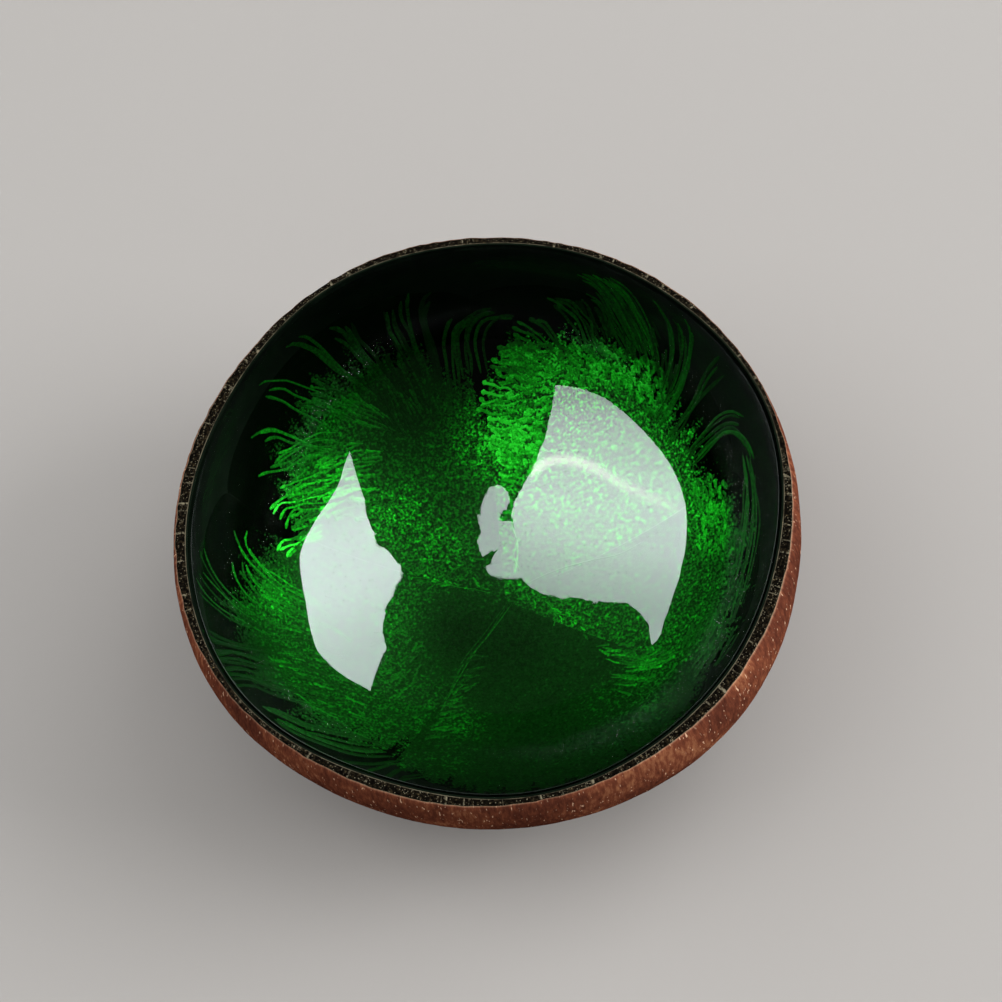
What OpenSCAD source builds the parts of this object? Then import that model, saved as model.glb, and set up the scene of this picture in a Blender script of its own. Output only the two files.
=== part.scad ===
// Lacquered bowl made from half a coconut shell.
// The shell is sawn across, sanded flat underneath and on the rim, and left bare outside.
// Inside it carries a black ground lacquer, five petals of green pearl pigment and a clear lacquer.
// The origin is the middle of the flat underside, with +Z up.

/* [Bowl] */
// Radius of the rim's outer edge
rim_r = 65; // [55:1:75]
// Height from the flat underside to the rim
bowl_h = 58; // [50:1:66]
// How far below the rim the outside is widest
belly_drop = 10.5; // [7:0.5:14]
// Radius of the flat that is sanded underneath, which the bowl stands on
foot_r = 19; // [14:1:24]

/* [Shell wall] */
// Thickness of the shell at its sanded rim
rim_wall = 1.9; // [1.8:0.1:2.6]
// How far below the rim the hollow is widest
hollow_drop = 8; // [5:0.5:9]
// Thickness of the shell over the flat underside
floor_wall = 3.2; // [2.4:0.2:5]
// Width of the worn outer edge of the rim
rim_ease = 0.5; // [0.2:0.1:0.8]

/* [Lacquer] */
// Thickness of the black ground lacquer
ground_t = 0.4; // [0.35:0.05:0.6]
// Thickness of the pigment in the body of a petal
pigment_t = 0.15; // [0.1:0.05:0.3]
// Thickness of the clear lacquer on top
clear_t = 0.6; // [0.4:0.05:1]

/* [Petals] */
// Seams between the petals, as shares of a turn from +X
seam_shares = [0.023, 0.232, 0.433, 0.646, 0.892]; // [0:0.001:1]
// How far each seam runs from the floor's middle to the mouth, as shares
seam_reach_shares = [0.62, 0.72, 0.74, 0.52, 0.54]; // [0.4:0.02:0.8]
// How far each petal's crown reaches the same way, as shares
crown_reach_shares = [0.78, 0.84, 0.78, 0.60, 0.66]; // [0.5:0.02:0.86]
// How far the pigment's fingers run out past the petal, as a share
finger_share = 0.05; // [0.02:0.01:0.06]
// Width of the band where a petal thins out to nothing, as a share
feather_share = 0.05; // [0.03:0.01:0.08]

/* [Fineness] */
// Columns round the bowl
columns = 90; // [72:6:96]
// Rows up the outside of the shell
outer_rows = 10; // [8:1:12]
// Rows up the hollow
hollow_rows = 11; // [10:1:13]
// Rows of the hollow that lie within a petal
petal_rows = 7; // [5:1:8]
// Columns from one finger of pigment to the next
finger_columns = 3; // [3:1:4]

/* [Hidden] */

// The nut isn't round. Each row is a natural wave: waves in a turn, height as a share of the
// radius, and the turn in degrees where a crest lies.
// Three low ridges run down the nut where its three carpels met, on a slightly oval section.
body_wave_shares = [[1, 0.006, 340], [2, 0.004, 165], [3, 0.015, 76]];
// The rim's outer edge wanders by hand sanding.
rim_wave_shares = [[3, 0.0045, 70], [4, 0.0045, 10], [5, 0.002, 40], [7, 0.002, 0]];
// The hollow's mouth was scraped by hand, so the rim is two to three times wider at some places.
mouth_wave_shares = [[1, 0.003, 0], [2, 0.0065, 56], [3, 0.003, 76], [4, 0.0105, 14], [5, 0.003, 58],
    [7, 0.004, 8]];

mouth_r = rim_r - rim_wall;
belly_z = bowl_h - belly_drop;
hollow_z = bowl_h - hollow_drop;
seam_columns = [for (s = seam_shares) round(s * columns)];
petal_count = len(seam_columns);

// Sum of a table of waves at one azimuth.
function ripple(waves, az) = [for (w = waves) w[1]] * [for (w = waves) cos(w[0] * (az - w[2]))];

// A point of a meridian, [radius, height], carried round to an azimuth and out by the waves.
// Those of the edge grow with height, and those of the body fade towards the floor and the rim.
function carried(p, az, edge_waves) =
    let (up = p.y / bowl_h,
        swell = up * ripple(edge_waves, az) + 4 * up * (1 - up) * ripple(body_wave_shares, az),
        r = p.x * (1 + swell))
    [r * cos(az), r * sin(az), p.y];

function azimuth(column) = 360 * column / columns;
function ring(p, edge_waves) = [for (c = [0:columns - 1]) carried(p, azimuth(c), edge_waves)];

// The outside is an oval that passes through the edge of the foot and the edge of the rim.
// Both points give one equation in the inverse squares of its half width and half height.
oval_det = pow(rim_r * belly_z, 2) - pow(foot_r * belly_drop, 2);
belly_r = sqrt(oval_det / (pow(belly_z, 2) - pow(belly_drop, 2)));
belly_h = sqrt(oval_det / (pow(rim_r, 2) - pow(foot_r, 2)));
foot_angle = asin(belly_z / belly_h);
brow_angle = asin((belly_drop - rim_ease) / belly_h);

function outer_point(row) =
    let (a = -foot_angle + (foot_angle + brow_angle) * row / (outer_rows - 1))
    [belly_r * cos(a), belly_z + belly_h * sin(a)];

// The hollow under a depth of coats is an oval through the floor's middle and the mouth's edge.
// The share is 0 at the floor's middle and 1 at the mouth.
function hollow_point(share, depth) =
    let (half_h = hollow_z - floor_wall - depth,
        mouth_angle = asin(hollow_drop / half_h),
        half_w = (mouth_r - depth) / cos(mouth_angle),
        a = -90 + (90 + mouth_angle) * share)
    [half_w * cos(a), hollow_z + half_h * sin(a)];

function hollow_at(share, column, depth) =
    carried(hollow_point(share, depth), azimuth(column), mouth_wave_shares);

function plain_rings(depth) =
    [for (row = [1:hollow_rows]) [for (c = [0:columns - 1]) hollow_at(row / hollow_rows, c, depth)]];

// The petals' own rows: they follow the petals' edges, and reach the mouth beyond them.
function next_seam(k) = k < petal_count - 1 ? seam_columns[k + 1] : seam_columns[0] + columns;
function unwrapped(column) = column < seam_columns[0] ? column + columns : column;
function petal_at(column) =
    max([for (k = [0:petal_count - 1]) if (unwrapped(column) >= seam_columns[k]) k]);

// Shares at which a petal's body ends at one column, and at which its fingers do.
function petal_edge(column) =
    let (k = petal_at(column),
        across = (unwrapped(column) - seam_columns[k]) / (next_seam(k) - seam_columns[k]),
        start = seam_reach_shares[k],
        end = seam_reach_shares[(k + 1) % petal_count],
        flank = start + (end - start) * across,
        crown = crown_reach_shares[k] - (start + end) / 2,
        body = flank + crown * sqrt(sin(180 * across)),
        finger = finger_share * max(0, cos(360 * column / finger_columns)) * sin(180 * across))
    [body, body + finger];

function petal_row_share(row, column) =
    let (edge = petal_edge(column), body = edge[0], tip = edge[1])
    row < petal_rows ? (body - feather_share) * row / (petal_rows - 1)
    : tip + (1 - tip) * (row - petal_rows) / (hollow_rows - petal_rows);

function film(row) = row < petal_rows ? pigment_t : 0;
function under_petal(row, column) = hollow_at(petal_row_share(row, column), column, ground_t);
function over_petal(row, column) =
    hollow_at(petal_row_share(row, column), column, ground_t + film(row));

under_rings = [for (row = [1:hollow_rows]) [for (c = [0:columns - 1]) under_petal(row, c)]];
over_rings = [for (row = [1:hollow_rows]) [for (c = [0:columns - 1]) over_petal(row, c)]];

function joined(lists) = [for (l = lists) each l];
function reversed(list) = [for (k = [len(list) - 1:-1:0]) list[k]];

// Closed solid from one middle point, out through rings that climb, in through rings that sink,
// and to another middle point. The sides of each cell are split the same way up and down, so that
// two coats that share a surface also share its facets.
module lofted(first, climbing, sinking, last) {
    rings = concat(climbing, sinking);
    n = columns;
    end = 1 + n * len(rings);
    first_fan = [for (c = [0:n - 1]) [0, 1 + c, 1 + (c + 1) % n]];
    bands = [for (r = [0:len(rings) - 2], c = [0:n - 1])
        let (a = 1 + r * n + c, b = a + n, d = 1 + r * n + (c + 1) % n, e = d + n)
        each r < len(climbing) - 1 ? [[a, b, e], [a, e, d]] : [[a, b, d], [b, e, d]]];
    last_fan = [for (c = [0:n - 1]) [end, end - n + (c + 1) % n, end - n + c]];
    polyhedron(points = concat([first], joined(rings), [last]),
        faces = concat(first_fan, bands, last_fan));
}

// Half a coconut shell. The rim face is flat, and its outer edge is worn.
module shell() {
    outer_rings = [for (row = [0:outer_rows - 1]) ring(outer_point(row), rim_wave_shares)];
    rim_edge = ring([rim_r - rim_ease, bowl_h], rim_wave_shares);
    color("#6b3c2b")
        lofted([0, 0, 0],
            concat(outer_rings, [rim_edge]), reversed(plain_rings(0)),
            [0, 0, floor_wall]);
}

// Black lacquer that seals the scraped hollow.
module ground_lacquer() {
    color("#0c0d0c")
        lofted([0, 0, floor_wall],
            plain_rings(0), reversed(under_rings),
            [0, 0, floor_wall + ground_t]);
}

// One petal of pearl pigment. It lies on the ground lacquer, meets its neighbours at the seams,
// and thins out to nothing along its fingered edge, where its two faces share their points.
module petal(k, tint) {
    first_column = seam_columns[k];
    m = next_seam(k) - first_column + 1;
    last = m - 1;
    under = [for (row = [1:petal_rows], j = [0:last]) under_petal(row, first_column + j)];
    over = [for (row = [1:petal_rows - 1], j = [0:last]) over_petal(row, first_column + j)];
    function low(row, j) = row == 0 ? 0 : 2 + (row - 1) * m + j;
    function high(row, j) =
        row == 0 ? 1 : row == petal_rows ? low(row, j) : 2 + (petal_rows + row - 1) * m + j;
    // Drops a repeated corner, so that a side that closes to a point is left with three.
    function corners(f) = [for (i = [0:len(f) - 1]) if (f[i] != f[(i + 1) % len(f)]) f[i]];
    function halved(f) = len(f) < 4 ? [f] : [[f[0], f[1], f[2]], [f[0], f[2], f[3]]];
    sheets = [for (row = [0:petal_rows - 1], j = [0:last - 1])
        each [
            [low(row, j), low(row + 1, j), low(row + 1, j + 1), low(row, j + 1)],
            [high(row, j), high(row, j + 1), high(row + 1, j + 1), high(row + 1, j)]
        ]];
    sides = [for (row = [0:petal_rows - 1])
        each [
            [low(row + 1, 0), low(row, 0), high(row, 0), high(row + 1, 0)],
            [low(row, last), low(row + 1, last), high(row + 1, last), high(row, last)]
        ]];
    middle = floor_wall + ground_t;
    color(tint)
        polyhedron(points = concat([[0, 0, middle], [0, 0, middle + pigment_t]], under, over),
            faces = [for (f = concat(sheets, sides)) each halved(corners(f))]);
}

// Petals by compass, with +Y as north. Those that face the light are the brighter ones.
module petal_north_east() {
    petal(0, "#12a326");
}
module petal_north_west() {
    petal(1, "#0b5a16");
}
module petal_south_west() {
    petal(2, "#0d6f1a");
}
module petal_south() {
    petal(3, "#0a4512");
}
module petal_east() {
    petal(4, "#0f8a20");
}

// Clear lacquer, cast over the pigment and polished by its own flow.
module clear_lacquer() {
    middle = floor_wall + ground_t + pigment_t;
    color("#dfe8df", 0.25)
        lofted([0, 0, middle],
            over_rings, reversed(plain_rings(ground_t + pigment_t + clear_t)),
            [0, 0, middle + clear_t]);
}

shell();
ground_lacquer();
petal_north_east();
petal_north_west();
petal_south_west();
petal_south();
petal_east();
clear_lacquer();
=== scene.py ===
# %% [markdown]
# # A lacquered coconut shell bowl
# The bowl is half a coconut shell: bare, sanded and brown outside, sealed with black lacquer inside.
# On the black lie five pools of green pearl pigment that ran out into fine strands, and a thick
# clear lacquer lies over all of it. The solids of the CAD model give every size and place. Here each
# coat gets a finer mesh in the same place, and a material that is worked out from the real one.

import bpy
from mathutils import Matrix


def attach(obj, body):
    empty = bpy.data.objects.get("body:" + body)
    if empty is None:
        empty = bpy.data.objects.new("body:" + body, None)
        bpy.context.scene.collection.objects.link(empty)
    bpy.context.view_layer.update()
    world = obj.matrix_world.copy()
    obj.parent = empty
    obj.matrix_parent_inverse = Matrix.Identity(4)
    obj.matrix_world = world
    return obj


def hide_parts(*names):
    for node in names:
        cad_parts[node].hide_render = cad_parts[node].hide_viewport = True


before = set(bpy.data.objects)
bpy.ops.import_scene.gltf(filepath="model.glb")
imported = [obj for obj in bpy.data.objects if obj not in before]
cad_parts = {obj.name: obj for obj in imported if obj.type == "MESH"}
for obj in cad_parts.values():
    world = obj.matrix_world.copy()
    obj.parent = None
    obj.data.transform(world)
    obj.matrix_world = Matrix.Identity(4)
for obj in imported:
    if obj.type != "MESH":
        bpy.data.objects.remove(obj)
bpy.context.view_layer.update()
print("CAD nodes:", sorted(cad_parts))

# %% [markdown]
# ## Sizes
# Blender works in metres, and a bowl is thought of in millimetres, so one unit is named first.
# The sizes repeat the driving sizes of the CAD model, because a piece that replaces a solid has to
# lie where the solid lies.

# %% Name the sizes
import math
import bpy
import numpy as np
from mathutils import Matrix, Vector, noise
from mathutils.kdtree import KDTree

MM = 0.001
RIM_R, BOWL_H, BELLY_DROP, FOOT_R = 65 * MM, 58 * MM, 10.5 * MM, 19 * MM
RIM_WALL, HOLLOW_DROP, FLOOR_WALL, RIM_EASE = 1.9 * MM, 8 * MM, 3.2 * MM, 0.5 * MM
GROUND_T, PIGMENT_T, CLEAR_T = 0.4 * MM, 0.15 * MM, 0.6 * MM
COATS_T = GROUND_T + PIGMENT_T + CLEAR_T
SUNK = 0.02 * MM  # how far a coat is keyed into the one below it
MOUTH_R, BELLY_Z, HOLLOW_Z = RIM_R - RIM_WALL, BOWL_H - BELLY_DROP, BOWL_H - HOLLOW_DROP
HOLLOW_MIDDLE = np.array([0, 0, HOLLOW_Z])
print("rim", RIM_R / MM, "mm radius, height", BOWL_H / MM, "mm")

# %% [markdown]
# ## The nut isn't round
# A turned bowl would be a plain spin. A coconut has three low ridges where its carpels met, and its
# rim and hollow were worked by hand. A short sum of cosine waves round the bowl gives that. Each row
# is waves in a turn, height as a share of the radius, and the turn in degrees of a crest.

# %% Waves round the bowl
BODY_WAVES = [(1, 0.006, 340), (2, 0.004, 165), (3, 0.015, 76)]
RIM_WAVES = [(3, 0.0045, 70), (4, 0.0045, 10), (5, 0.002, 40), (7, 0.002, 0)]
MOUTH_WAVES = [(1, 0.003, 0), (2, 0.0065, 56), (3, 0.003, 76), (4, 0.0105, 14), (5, 0.003, 58),
               (7, 0.004, 8)]


def ripple(waves, turn):
    return sum(height * np.cos(n * (turn - math.radians(crest))) for n, height, crest in waves)


def swelling(z, turn, edge_waves):
    up = np.clip(z / BOWL_H, 0, 1)
    return 1 + up * ripple(edge_waves, turn) + 4 * up * (1 - up) * ripple(BODY_WAVES, turn)


print("rim radius at +X:", round(RIM_R * float(swelling(BOWL_H, 0.0, RIM_WAVES)) / MM, 2), "mm")

# %% [markdown]
# ## The two ovals
# The outside and the hollow are both ovals in section. The outside passes through the edge of the
# foot and the edge of the rim, which fixes its half width and half height. A place in the hollow is
# told by three numbers: its share of the way from the floor's middle to the mouth, its turn, and
# its depth, which is how thick the coats between it and the bare shell are.

# %% Ovals of the outside and of the hollow
oval_det = (RIM_R * BELLY_Z) ** 2 - (FOOT_R * BELLY_DROP) ** 2
BELLY_R = math.sqrt(oval_det / (BELLY_Z ** 2 - BELLY_DROP ** 2))
BELLY_H = math.sqrt(oval_det / (RIM_R ** 2 - FOOT_R ** 2))
FOOT_ANGLE = math.asin(BELLY_Z / BELLY_H)
BROW_ANGLE = math.asin((BELLY_DROP - RIM_EASE) / BELLY_H)


def outside_point(angle):
    return BELLY_R * np.cos(angle), BELLY_Z + BELLY_H * np.sin(angle)


def hollow_oval(depth):
    half_h = HOLLOW_Z - FLOOR_WALL - depth
    mouth_angle = np.arcsin(HOLLOW_DROP / half_h)
    return (MOUTH_R - depth) / np.cos(mouth_angle), half_h, mouth_angle


def hollow_point(share, depth):
    half_w, half_h, mouth_angle = hollow_oval(depth)
    angle = -math.pi / 2 + (math.pi / 2 + mouth_angle) * share
    return half_w * np.cos(angle), HOLLOW_Z + half_h * np.sin(angle)


BARE_W, BARE_H, _ = hollow_oval(0)
FLOOR_TO_MOUTH = float(np.sum(np.hypot(*np.diff(hollow_point(np.linspace(0, 1, 200), 0), axis=1))))
print("floor's middle to mouth along the hollow:", round(FLOOR_TO_MOUTH / MM, 1), "mm")

# %% [markdown]
# ## The camera
# The photo looks down into the bowl at about 66 degrees, a little turned about the line of sight. The
# camera was fitted to the outline of the rim. Its three axes are written out, so that no rotation
# order has to be guessed. The same numbers later throw a place seen in the photo onto the hollow.

# %% Camera
PHOTO_SIDE = 1002
LENS_MM, SENSOR_MM = 72.54, 36
LENS_PX = LENS_MM / SENSOR_MM * PHOTO_SIDE
EYE = Vector((4.18 * MM, -174.57 * MM, 442.75 * MM))
CAMERA_X = Vector((0.97750861, -0.19209054, -0.08705249))
CAMERA_Y = Vector((0.2108955, 0.89034691, 0.40349159))
CAMERA_Z = Vector((0, -0.41277548, 0.91083281))


def placed(thing, axes, spot):
    thing.matrix_world = Matrix.Translation(spot) @ Matrix(axes).transposed().to_4x4()


camera_data = bpy.data.cameras.new("photo_camera")
camera_data.lens = LENS_MM
camera_data.sensor_width = SENSOR_MM
camera_data.clip_start = 10 * MM
camera = bpy.data.objects.new("photo_camera", camera_data)
bpy.context.scene.collection.objects.link(camera)
placed(camera, (CAMERA_X, CAMERA_Y, CAMERA_Z), EYE)
bpy.context.scene.camera = camera
print("camera", [round(v / MM, 1) for v in EYE], "mm, lens", LENS_MM, "mm")

# %% [markdown]
# ## Drawing a section and spinning it
# The shell and the two lacquers are round bodies, so each starts as its half section, drawn as by
# hand: a plane is merged to one point, and the point is extruded from corner to corner. Spin turns
# the section into a body, and merging by distance closes the seam and the two poles.

# %% Helpers that draw and spin
def deselected():
    if bpy.context.object and bpy.context.object.mode != "OBJECT":
        bpy.ops.object.mode_set(mode="OBJECT")
    bpy.ops.object.select_all(action="DESELECT")


def spun(name, section, columns):
    deselected()
    bpy.ops.mesh.primitive_plane_add(size=MM)
    piece = bpy.context.object
    piece.name = piece.data.name = name
    bpy.ops.object.mode_set(mode="EDIT")
    bpy.ops.mesh.merge(type="CENTER")
    here = (0.0, 0.0)
    for number, (r, z) in enumerate(section):
        step = (r - here[0], 0, z - here[1])
        if number == 0:
            bpy.ops.transform.translate(value=step)
        else:
            bpy.ops.mesh.extrude_vertices_move(TRANSFORM_OT_translate={"value": step})
        here = (r, z)
    bpy.ops.mesh.select_all(action="SELECT")
    bpy.ops.mesh.spin(steps=columns, angle=math.tau, center=(0, 0, 0), axis=(0, 0, 1))
    bpy.ops.mesh.select_all(action="SELECT")
    bpy.ops.mesh.remove_doubles(threshold=0.002 * MM)
    bpy.ops.mesh.normals_make_consistent(inside=False)
    bpy.ops.object.mode_set(mode="OBJECT")
    return piece


def points_of(piece):
    flat = np.empty(3 * len(piece.data.vertices))
    piece.data.vertices.foreach_get("co", flat)
    return flat.reshape(-1, 3)


def report(piece):
    piece.data.calc_loop_triangles()
    size = np.ptp(points_of(piece), axis=0) / MM
    print(piece.name, len(piece.data.loop_triangles), "triangles, size", size.round(2), "mm")


print("the helpers spin a section round the Z axis and report the body")

# %% [markdown]
# ## The shell
# The real wall is one body with an outside skin, a flat sawn rim with a worn outer edge, and the
# scraped hollow. Its section is one closed line, which is spun first as a plain round body.

# %% Shell
SHELL_COLUMNS, SKIN_RINGS, HOLLOW_RINGS, EASE_RINGS, FACE_RINGS, FOOT_RINGS = 540, 56, 22, 4, 5, 6
skin = [outside_point(a) for a in np.linspace(-FOOT_ANGLE, BROW_ANGLE, SKIN_RINGS)]
ease_turns = np.linspace(0, math.pi / 2, EASE_RINGS + 1)[1:]
arris = [(RIM_R - RIM_EASE * (1 - math.cos(t)), BOWL_H - RIM_EASE * (1 - math.sin(t))) for t in ease_turns]
rim_face = [(RIM_R - RIM_EASE - (RIM_WALL - RIM_EASE) * k / FACE_RINGS, BOWL_H)
            for k in range(1, FACE_RINGS)]
hollow = [hollow_point(s, 0) for s in np.linspace(1, 0, HOLLOW_RINGS)]
foot = [(FOOT_R * k / FOOT_RINGS, 0) for k in range(FOOT_RINGS)]
shell = spun("coconut_shell", foot + skin + arris + rim_face + hollow, SHELL_COLUMNS)
report(shell)

# %% [markdown]
# ### Waves, fibres and wear
# Every point of the shell is carried out by the waves, which a modifier can't do, so numpy does it.
# The waves of rim and mouth are blended across the wall by how far in a point lies between skin and
# hollow. The fibres run from pole to pole, so fine grooves are cut as real relief: a noise that is
# stretched along the meridian moves the skin by a few hundredths of a millimetre, and a coarse
# one by about a tenth. The wear of the outer edge wanders, because it was sanded by hand. Two values
# are stored for the material: where the edge shows wear, which is painted paler for the wear and as
# a painted highlight along the rounded edge, and the two lines that border the sawn face, which are
# painted pale as a glint at the inner edge and as wear with a painted highlight at the outer edge.

# %% Shell carried out by the waves
FIBRE_RELIEF, FIBRE_GRAIN = 0.05 * MM, 1.3 * MM
LUMP_RELIEF, LUMP_GRAIN = 0.16 * MM, 9 * MM
WORN_IN, WORN_DOWN, WEAR_GRAIN = 0.35 * MM, 0.2 * MM, 4 * MM
CALM_BAND = 3 * MM  # the lumps fade out over this height under the rim
FACE_BAND = 0.15  # millimetres under the rim: the sawn face and the upper half of its worn edge


def set_points(piece, points):
    piece.data.vertices.foreach_set("co", points.astype(np.float32).ravel())
    piece.data.update()


def attribute(piece, name, values):
    layer = piece.data.attributes.new(name, "FLOAT", "POINT")
    layer.data.foreach_set("value", np.asarray(values, dtype=np.float32))


def smooth_noise(points, grain, seed):
    shift = Vector((seed * 7.3, seed * 3.1, seed * 5.7))
    return np.array([noise.noise(Vector(p) / grain + shift) for p in points])


def turned_out(r, turn, z):
    return np.stack([r * np.cos(turn), r * np.sin(turn), z + 0 * r], axis=-1)


def radius_and_turn(points):
    x, y = points[..., 0], points[..., 1]
    return np.hypot(x, y), np.arctan2(y, x)


points = points_of(shell)
radius, turn = radius_and_turn(points)
z = points[:, 2]
drop = np.clip((z - BELLY_Z) / BELLY_H, -1, 1)
outside_r = np.minimum(BELLY_R * np.sqrt(1 - drop ** 2), np.where(z > BOWL_H - RIM_EASE, RIM_R, 1))
inside_r = BARE_W * np.sqrt(np.clip(1 - ((z - HOLLOW_Z) / BARE_H) ** 2, 0, 1))
inward = np.clip((outside_r - radius) / np.maximum(outside_r - inside_r, MM), 0, 1)
inward[z < 0.5 * FLOOR_WALL] = 0
swell = (1 - inward) * swelling(z, turn, RIM_WAVES) + inward * swelling(z, turn, MOUTH_WAVES)
stretched = turned_out(RIM_R, turn, 0.1 * z)
fibre = smooth_noise(stretched, FIBRE_GRAIN, 1)
lumps = smooth_noise(points, LUMP_GRAIN, 2)
on_skin = (inward < 0.2) & (z > MM)
near_rim = np.clip((z - (BOWL_H - CALM_BAND)) / CALM_BAND, 0, 1)
relief = np.where(on_skin, FIBRE_RELIEF * fibre + LUMP_RELIEF * lumps * (1 - near_rim), 0)
on_arris = on_skin & (z > BOWL_H - RIM_EASE * 1.01)
wear = np.where(on_arris, np.abs(smooth_noise(stretched, WEAR_GRAIN, 3)), 0)
set_points(shell, turned_out(radius * swell + relief - WORN_IN * wear, turn, z - WORN_DOWN * wear))
below_rim = (BOWL_H - z) / MM
on_rim = below_rim < FACE_BAND
# the arris is painted paler: wear, and a painted highlight along the rounded edge
attribute(shell, "worn", np.where(on_arris, np.clip(1 - (below_rim - FACE_BAND) / 0.3, 0, 1), 0))
# the two border lines of the sawn face: a painted glint at the inner edge, wear and a painted highlight at
# the outer edge
attribute(shell, "edge", on_rim & ((below_rim > 0.1) | (inward > 0.95)))
report(shell)
print("relief up to", round(float(np.abs(relief).max()) / MM, 2), "mm")

# %% [markdown]
# ## The black ground lacquer
# A thin black coat seals the hollow. It is a closed body of its own, keyed a hair into the shell so
# that no gap shows between them, with its top edge level with the rim.

# %% Ground lacquer
COAT_COLUMNS, COAT_RINGS = 300, 40


def carried_by_mouth(piece):
    points = points_of(piece)
    points[:, :2] *= swelling(points[:, 2], radius_and_turn(points)[1], MOUTH_WAVES)[:, None]
    set_points(piece, points)


wall_shares = np.linspace(0, 1, COAT_RINGS + 1)
ground = spun("ground_lacquer_coat",
              [hollow_point(s, -SUNK) for s in wall_shares[::2]]
              + [hollow_point(s, GROUND_T) for s in wall_shares[::-1]], COAT_COLUMNS)
carried_by_mouth(ground)
report(ground)

# %% [markdown]
# ## The clear lacquer
# The clear coat was poured and spun by hand, so its face is mirror smooth and still a little
# wavy: a lamp's reflection gets a wandering outline. A noise of a few hundredths of a millimetre
# over about a centimetre does that, with a finer one at the very bottom. Both are real relief, as
# gloss shows every dent. The steep wall drained evenly, so the waves calm down there. At the mouth
# the coat ends in a rounded lip, which was sanded level with the rim and is matt. Its underside has
# the rings of the ground coat, so that it stays just below that coat's face everywhere.

# %% Clear lacquer
LIP_R, LIP_RINGS, FACE_POINTS = 0.2 * MM, 5, 90
WAVE_H, WAVE_GRAIN = 0.035 * MM, 11 * MM
PEEL_H, PEEL_GRAIN = 0.012 * MM, 5 * MM


def lower_than(drop, z, over):
    return np.clip((BOWL_H - drop - z) / over, 0, 1)


lip_share = 1 - LIP_R / FLOOR_TO_MOUTH
lip_turns = np.linspace(0, math.pi / 2, LIP_RINGS + 1)[1:]
lip_wall_r = hollow_point(lip_share, COATS_T)[0]
lip = [(lip_wall_r + LIP_R * (1 - math.cos(t)), BOWL_H - LIP_R * (1 - math.sin(t))) for t in lip_turns]
clear = spun("clear_lacquer_coat",
             [hollow_point(s, COATS_T) for s in np.linspace(0, lip_share, FACE_POINTS)] + lip
             + [hollow_point(s, GROUND_T - SUNK) for s in wall_shares[::-1]], COAT_COLUMNS)
points = points_of(clear)
z = points[:, 2]
outward = points - HOLLOW_MIDDLE
outward /= np.linalg.norm(outward, axis=1)[:, None]
depth_now = BARE_W - np.hypot(radius_and_turn(points)[0], (z - HOLLOW_Z) * BARE_W / BARE_H)
low, lowest = lower_than(30 * MM, z, 14 * MM), lower_than(41 * MM, z, 5 * MM)
waves = (WAVE_H * low * smooth_noise(points, WAVE_GRAIN, 4)
         + PEEL_H * lowest * smooth_noise(points, PEEL_GRAIN, 5))
on_face = depth_now > 0.8 * COATS_T
points -= outward * np.where(on_face, waves, 0)[:, None]
set_points(clear, points)
attribute(clear, "peeled", lowest)
attribute(clear, "lip", points[:, 2] > BOWL_H - 1.8 * LIP_R)
carried_by_mouth(clear)
report(clear)

# %% [markdown]
# ## From the photo onto the hollow
# The strands of pigment are too free for a rule, so a few of them serve as guides, as with hair.
# A guide is drawn over the photo as three to eight points, and each point is thrown along its line of
# sight onto the hollow. The hollow is then unrolled to a flat chart: distance from the middle is
# the share of the way to the mouth, and direction is the turn. In that chart lines can be blended.

# %% Lines of sight
FLOWER_MIDDLE = (516, 592)
SIGHT_REACH, SIGHT_STEPS = 160 * MM, 1600  # how far below the rim's level, and how finely, one looks


def off_the_wall(points, depth):
    half_w, half_h, _ = hollow_oval(depth)
    r, turn = radius_and_turn(points)
    r = r / swelling(points[..., 2], turn, MOUTH_WAVES)
    return np.hypot(r / half_w, (points[..., 2] - HOLLOW_Z) / half_h)


def seen_at(column, row, depth):
    side = (column - PHOTO_SIDE / 2) / LENS_PX
    rise = (PHOTO_SIDE / 2 - row) / LENS_PX
    sight = np.array(side * CAMERA_X + rise * CAMERA_Y - CAMERA_Z)
    way = (BOWL_H - EYE.z) / sight[2] + np.linspace(0, SIGHT_REACH, SIGHT_STEPS)
    path = np.array(EYE) + sight * way[:, None]
    return path[int(np.argmax(off_the_wall(path, depth) > 1))], sight


def charted(column, row):
    x, y, z = seen_at(column, row, GROUND_T)[0]
    half_w, half_h, mouth_angle = hollow_oval(GROUND_T)
    turn = math.atan2(y, x)
    r = math.hypot(x, y) / float(swelling(z, turn, MOUTH_WAVES))
    share = (math.atan2((z - HOLLOW_Z) / half_h, r / half_w) + math.pi / 2) / (math.pi / 2 + mouth_angle)
    return share * math.cos(turn), share * math.sin(turn)


print("flower's middle", FLOWER_MIDDLE, "lies at", [round(v, 3) for v in charted(*FLOWER_MIDDLE)])
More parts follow.
